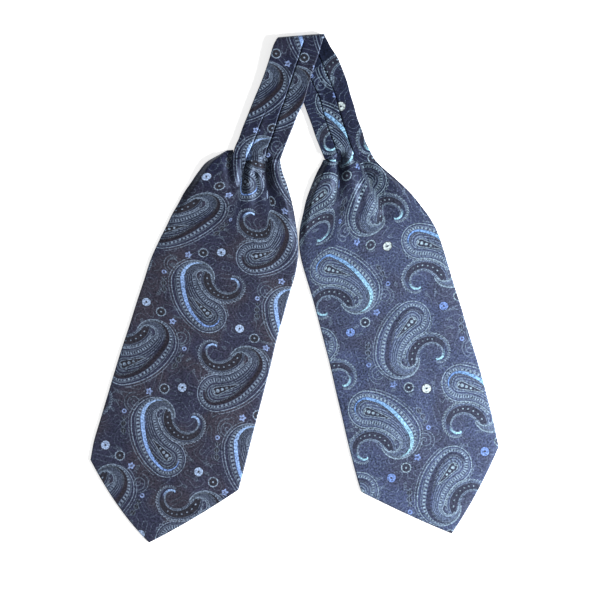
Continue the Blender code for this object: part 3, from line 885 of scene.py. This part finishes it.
LEFT_ROWS = rows_round_fold(12) + BAND_LEFT
LEFT_FOLDS = [
    Trough(points=[(-6, 246), (-12, 222), (-22, 196)], width=(5.0, 4.0), depth=(0.35, 0.25)),
    Trough(points=[(12, 240), (2, 210)], width=(3.5, 3.0), depth=(-0.3, -0.1)),
    Trough(points=[(-33, 200), (-46, 168), (-53, 146)], width=(3.0, 2.5), depth=(-0.3, -0.3)),
    Trough(points=[(-4, 196), (-14, 168), (-24, 140)], width=(2.5, 3.0), depth=(-0.25, -0.4)),
    Trough(points=[(-24, 176), (-34, 148)], width=(3.0, 3.5), depth=(0.3, 0.35)),
]


def left_shape(spot, share, position, drop):
    height = spot.z - trough_depth(LEFT_FOLDS, spot.x, spot.y) * smooth((position - 11) / 2)
    height += 0.16 * noise.noise(Vector((spot.x / 9.0, spot.y / 16.0, 1.3)))
    return max(LOWEST, height)


def left_seam(spot, share, position, drop):
    """The middle and inner pleats end in a seam, a folded edge that lies on the blade's gathered cloth."""
    height = left_shape(spot, share, position, drop)
    on_cloth = cloth_height(LEFT_BLADE, FAR_FROM_EDGE, spot.x, spot.y) - drop + 0.55
    end = len(LEFT_ROWS) - 1 - position
    height = mix(height, on_cloth, smooth((LEFT_SEAM_Y - spot.y) / 5.0))
    return max(LOWEST, height - 0.7 * smooth(1 - end / 0.35))


def left_outer(spot, share, position, drop):
    """The outer pleat comes down over the blade and sinks into its cloth."""
    height = left_shape(spot, share, position, drop)
    tail = smooth((position - len(LEFT_ROWS) + 1) / len(OUTER_TAIL))
    on_cloth = cloth_height(LEFT_BLADE, FAR_FROM_EDGE, spot.x, spot.y) + 0.2
    return max(LOWEST, mix(height, max(height, on_cloth) - 0.5 * drop, tail))


def weave_beyond(blade, third, shift=0.0, drift=0.0):
    """The band's weave carries on from the blade's, with the cloth that the pleats hide left out."""
    def weave(spot):
        along, across = along_and_across(blade, spot.x, spot.y)
        u = across + blade.hidden[third] + drift * smooth(-along / 100.0)
        return u, along + blade.squeeze * (min(along, 0.0) * 0.5 - SQUEEZE_END) + shift
    return weave


def outer_rows(rows, tail):
    """The outer pleat's own rows: the part of each row to its pleat line, and then the tail's."""
    own = []
    for row in rows:
        own.append(row._replace(
            right_x=mix(row.left_x, row.right_x, row.one),
            right_y=mix(row.left_y, row.right_y, row.one),
            right_top=mix(row.left_top, row.right_top, row.one),
        ))
    return own + tail


def whole(row):
    return 0.0, 1.0


def first_pleat(row):
    return 0.0, row.one


def middle_pleat(row):
    return row.one, row.two


def last_pleat(row):
    return row.two, 1.0


def layer_shape(spot, share, position, drop):
    return max(LOWEST, spot.z)


def outer_opened(side, y):
    return 1.0 if side == "left" else smooth((PRESSED_Y - y) / 20.0)


def middle_opened(side, y):
    return smooth((PRESSED_Y - y) / 20.0) if side == "left" else smooth((FOLD_Y - y) / 8.0)


def inner_opened(side, y):
    return smooth((FOLD_Y - y) / 8.0) if side == "left" else 1.0


left_weave = weave_beyond(LEFT_BLADE, 0, drift=-11.0)
inner_weave = weave_beyond(LEFT_BLADE, 2, shift=4.0)
mesh = bmesh.new()
OUTER_ROWS = outer_rows(LEFT_ROWS, OUTER_TAIL)
add_pleat(mesh, OUTER_ROWS, 190, (FOLDED_EDGE, PLEAT_EDGE), whole, left_outer, left_weave,
          opened=outer_opened)
add_pleat(mesh, LEFT_ROWS, 150, BOTH_PLEATED, middle_pleat, left_seam, left_weave, opened=middle_opened)
add_pleat(mesh, LEFT_ROWS, 150, (PLEAT_EDGE, FOLDED_EDGE), last_pleat, left_seam, inner_weave,
          opened=inner_opened)
# Under the pleats, one more layer fills the band, and a last one lies under its middle stretch.
add_pleat(mesh, LEFT_ROWS, 60, BOTH_FOLDED, whole, layer_shape, left_weave, sink=2.3, inset=0.5)
add_pleat(mesh, LEFT_ROWS[14:19], 30, BOTH_FOLDED, whole, layer_shape, left_weave, sink=4.7, inset=1.8)
band_left = add_piece("neck_band_left", mesh, CLOTH)
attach(band_left, "root")
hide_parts("band_left", "band_turn")
band_left.data.materials.append(navy_silk)


# The neck band's right stretch, which comes out from under the left one. It is pleated in the same way; its
# middle and outer pleats run straight on into the blade, and only its inner pleat shows the seam.
BAND_RIGHT = [
    Row(-17.0, 250.0, 29.6, 253.6, 2.6, 2.6, 0.33, 0.67),
    Row(-16.5, 246.0, 33.4, 246.6, 2.6, 2.0, 0.33, 0.67),
    Row(-14.6, 241.2, 36.2, 241.4, 2.6, 2.2, 0.33, 0.67),
    Row(-9.5, 226.5, 42.5, 231.5, 3.4, 3.4, 0.33, 0.67),
    Row(-4.0, 213.0, 47.7, 219.0, 4.4, 4.5, 0.33, 0.67),
    Row(2.0, 200.0, 52.3, 206.5, 4.4, 4.6, 0.34, 0.68),
    Row(8.0, 187.0, 55.6, 194.0, 4.5, 4.7, 0.35, 0.685),
    Row(12.2, 175.5, 59.2, 182.5, 4.6, 4.8, 0.33, 0.67),
    Row(16.6, 163.5, 62.6, 170.0, 4.8, 4.9, 0.32, 0.665),
    Row(20.6, 151.5, 67.2, 158.0, 5.0, 5.0, 0.32, 0.66),
    Row(24.6, 141.5, 71.0, 146.0, 5.1, 5.1, 0.325, 0.655),
    Row(29.4, 130.2, 79.4, 130.2, 5.3, 5.3, 0.29, 0.637),
    Row(29.0, 127.0, 82.0, 127.0, 5.3, 5.3, 0.29, 0.637),
]
RIGHT_FOLDS = [
    Trough(points=[(22, 248), (30, 230)], width=(6.0, 5.0), depth=(1.7, 1.0)),
    Trough(points=[(20, 222), (32, 190), (40, 168)], width=(3.0, 2.5), depth=(0.5, 0.3)),
    Trough(points=[(44, 214), (54, 176), (64, 146)], width=(3.5, 3.0), depth=(-0.35, -0.3)),
    Trough(points=[(8, 184), (22, 152)], width=(2.5, 2.5), depth=(-0.3, -0.2)),
    Trough(points=[(44, 176), (52, 150), (56, 134)], width=(2.2, 2.5), depth=(0.45, 0.2)),
]


def right_shape(spot, share, position, drop):
    height = spot.z - trough_depth(RIGHT_FOLDS, spot.x, spot.y)
    height += 0.16 * noise.noise(Vector((spot.x / 9.0, spot.y / 16.0, 7.9)))
    return max(LOWEST, height)


def right_joined(spot, share, position, drop):
    """The pleats that run on into the blade come down to its cloth."""
    on_cloth = cloth_height(RIGHT_BLADE, FAR_FROM_EDGE * (1 - share) + 0.01, spot.x, spot.y) + 0.05
    height = right_shape(spot, share, position, drop)
    return max(LOWEST, mix(height, on_cloth - 0.4 * drop, smooth((JOIN_Y - spot.y) / 10.0)))


def right_seam(spot, share, position, drop):
    """The inner pleat ends in a seam on the blade's cloth."""
    on_cloth = cloth_height(RIGHT_BLADE, FAR_FROM_EDGE, spot.x, spot.y) - drop + 0.55
    height = mix(right_shape(spot, share, position, drop), on_cloth, smooth((RIGHT_SEAM_Y - spot.y) / 5.0))
    return max(LOWEST, height - 0.7 * smooth(1 - (len(BAND_RIGHT) - 1 - position) / 0.2))


def inside_of_fold(weave):
    """In the hollow of the fold, above a slanting line, the pattern gives way to a plain dark colour: painted
    shade.
    """
    def place(spot):
        u, v = weave(spot)
        if spot.y > 221.0 + (spot.x - 22.0) * 0.8:
            v += TO_FOLD_SHADE
        return u, v
    return place


mesh = bmesh.new()
inner_weave = weave_beyond(RIGHT_BLADE, 0, shift=11.0)
middle_weave = inside_of_fold(weave_beyond(RIGHT_BLADE, 1))
outer_weave = inside_of_fold(weave_beyond(RIGHT_BLADE, 2))
INNER_ROWS = BAND_RIGHT[:-2] + [BAND_RIGHT[-2]._replace(left_y=129.4, right_y=129.4)]
add_pleat(mesh, INNER_ROWS, 130, (FOLDED_EDGE, PLEAT_EDGE), first_pleat, right_seam, inner_weave)
add_pleat(mesh, BAND_RIGHT, 140, BOTH_PLEATED, middle_pleat, right_joined, middle_weave)
add_pleat(mesh, BAND_RIGHT, 140, (PLEAT_EDGE, FOLDED_EDGE), last_pleat, right_joined, outer_weave)
add_pleat(mesh, BAND_RIGHT, 60, BOTH_FOLDED, whole, layer_shape, inner_weave, sink=2.3, inset=0.5)
band_right = add_piece("neck_band_right", mesh, CLOTH)
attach(band_right, "root")
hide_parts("band_right")
# Painted sheen: the same lighter copy of the silk as the right blade.
band_right.data.materials.append(painted_sheen_silk)


# The table and the light: a plain pale surface, a low soft lamp on the right, which shows the folds, and a
# weak fill from the left. Both lamps point at the part's middle.
def add_lamp(name, place, size, power):
    data = bpy.data.lights.new(name, "AREA")
    data.shape = "DISK"
    data.size = size
    data.energy = power
    lamp = bpy.data.objects.new(name, data)
    lamp.location = place
    lamp.rotation_euler = (-Vector(place)).to_track_quat("-Z", "Y").to_euler()
    bpy.context.scene.collection.objects.link(lamp)


table_mesh = bmesh.new()
bmesh.ops.create_grid(table_mesh, x_segments=2, y_segments=2, size=3.0)
bmesh.ops.translate(table_mesh, verts=table_mesh.verts, vec=(0, 0, -0.0003))
table = add_piece("table", table_mesh)
paper = Cloth("pale_table")
paper.shader.inputs["Base Color"].default_value = (0.86, 0.86, 0.86, 1)
paper.shader.inputs["Roughness"].default_value = 0.9
paper.shader.inputs["Emission Color"].default_value = (1, 1, 1, 1)
paper.shader.inputs["Emission Strength"].default_value = 0.6
table.data.materials.append(paper.material)

add_lamp("key_lamp", place=(1.2, -0.35, 0.7), size=0.55, power=76)
add_lamp("fill_lamp", place=(-0.9, -0.8, 1.4), size=1.2, power=3)
sky = bpy.data.worlds.new("studio")
sky.use_nodes = True
background = sky.node_tree.nodes["Background"]
background.inputs["Color"].default_value = (1, 1, 1, 1)
background.inputs["Strength"].default_value = 0.3
bpy.context.scene.world = sky
bpy.context.scene.view_settings.view_transform = "Standard"


# The camera looks straight down, as the photo does, and takes in 0.6 m of the table.
camera_data = bpy.data.cameras.new("camera")
camera_data.lens = 90
camera_data.sensor_width = 36
camera = bpy.data.objects.new("camera", camera_data)
camera.location = (0.00535, -0.012, 1.503)
bpy.context.scene.collection.objects.link(camera)
bpy.context.scene.camera = camera
